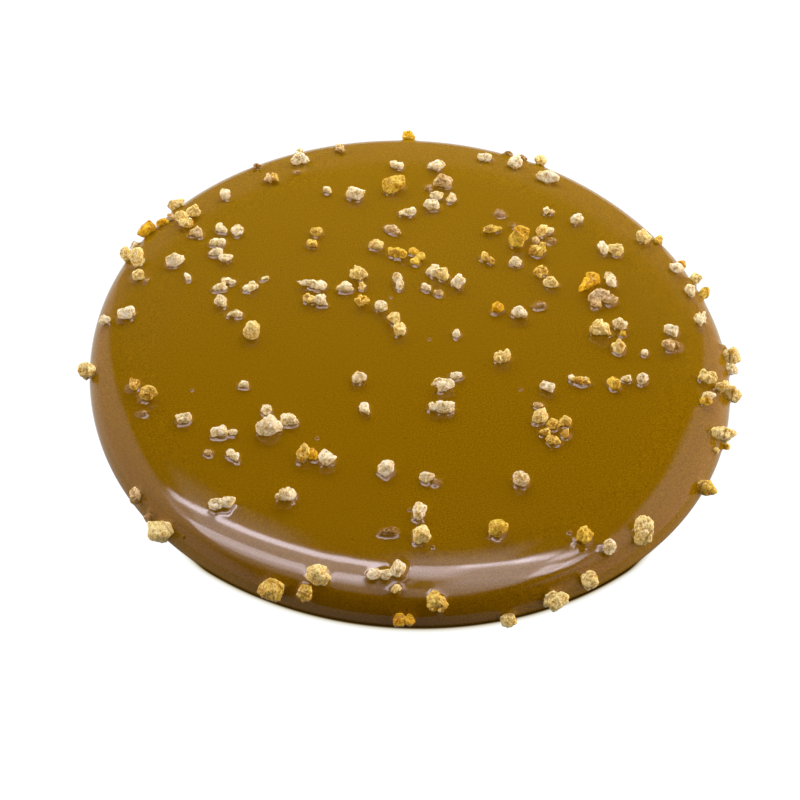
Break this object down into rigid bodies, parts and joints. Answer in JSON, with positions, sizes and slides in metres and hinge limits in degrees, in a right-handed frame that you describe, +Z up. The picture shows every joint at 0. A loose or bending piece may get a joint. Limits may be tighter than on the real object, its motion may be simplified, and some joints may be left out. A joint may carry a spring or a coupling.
{
  "type": "chocolate tuile",
  "caption": "Poured round disc of glossy milk chocolate with a soft rounded rim, sprinkled with small crisp crumbs.",
  "frame": {"origin": "middle of the flat underside", "axes": "+Z up out of the flat top, +X to the right and +Y to the back when the disc is seen from the front"},
  "size_m": [0.0802, 0.0798, 0.0042],
  "materials": {
    "chocolate": "glossy, set from the melt, golden brown"
  },
  "bodies": {
    "root": {"chocolate_disc": "chocolate"}
  },
  "joints": []
}
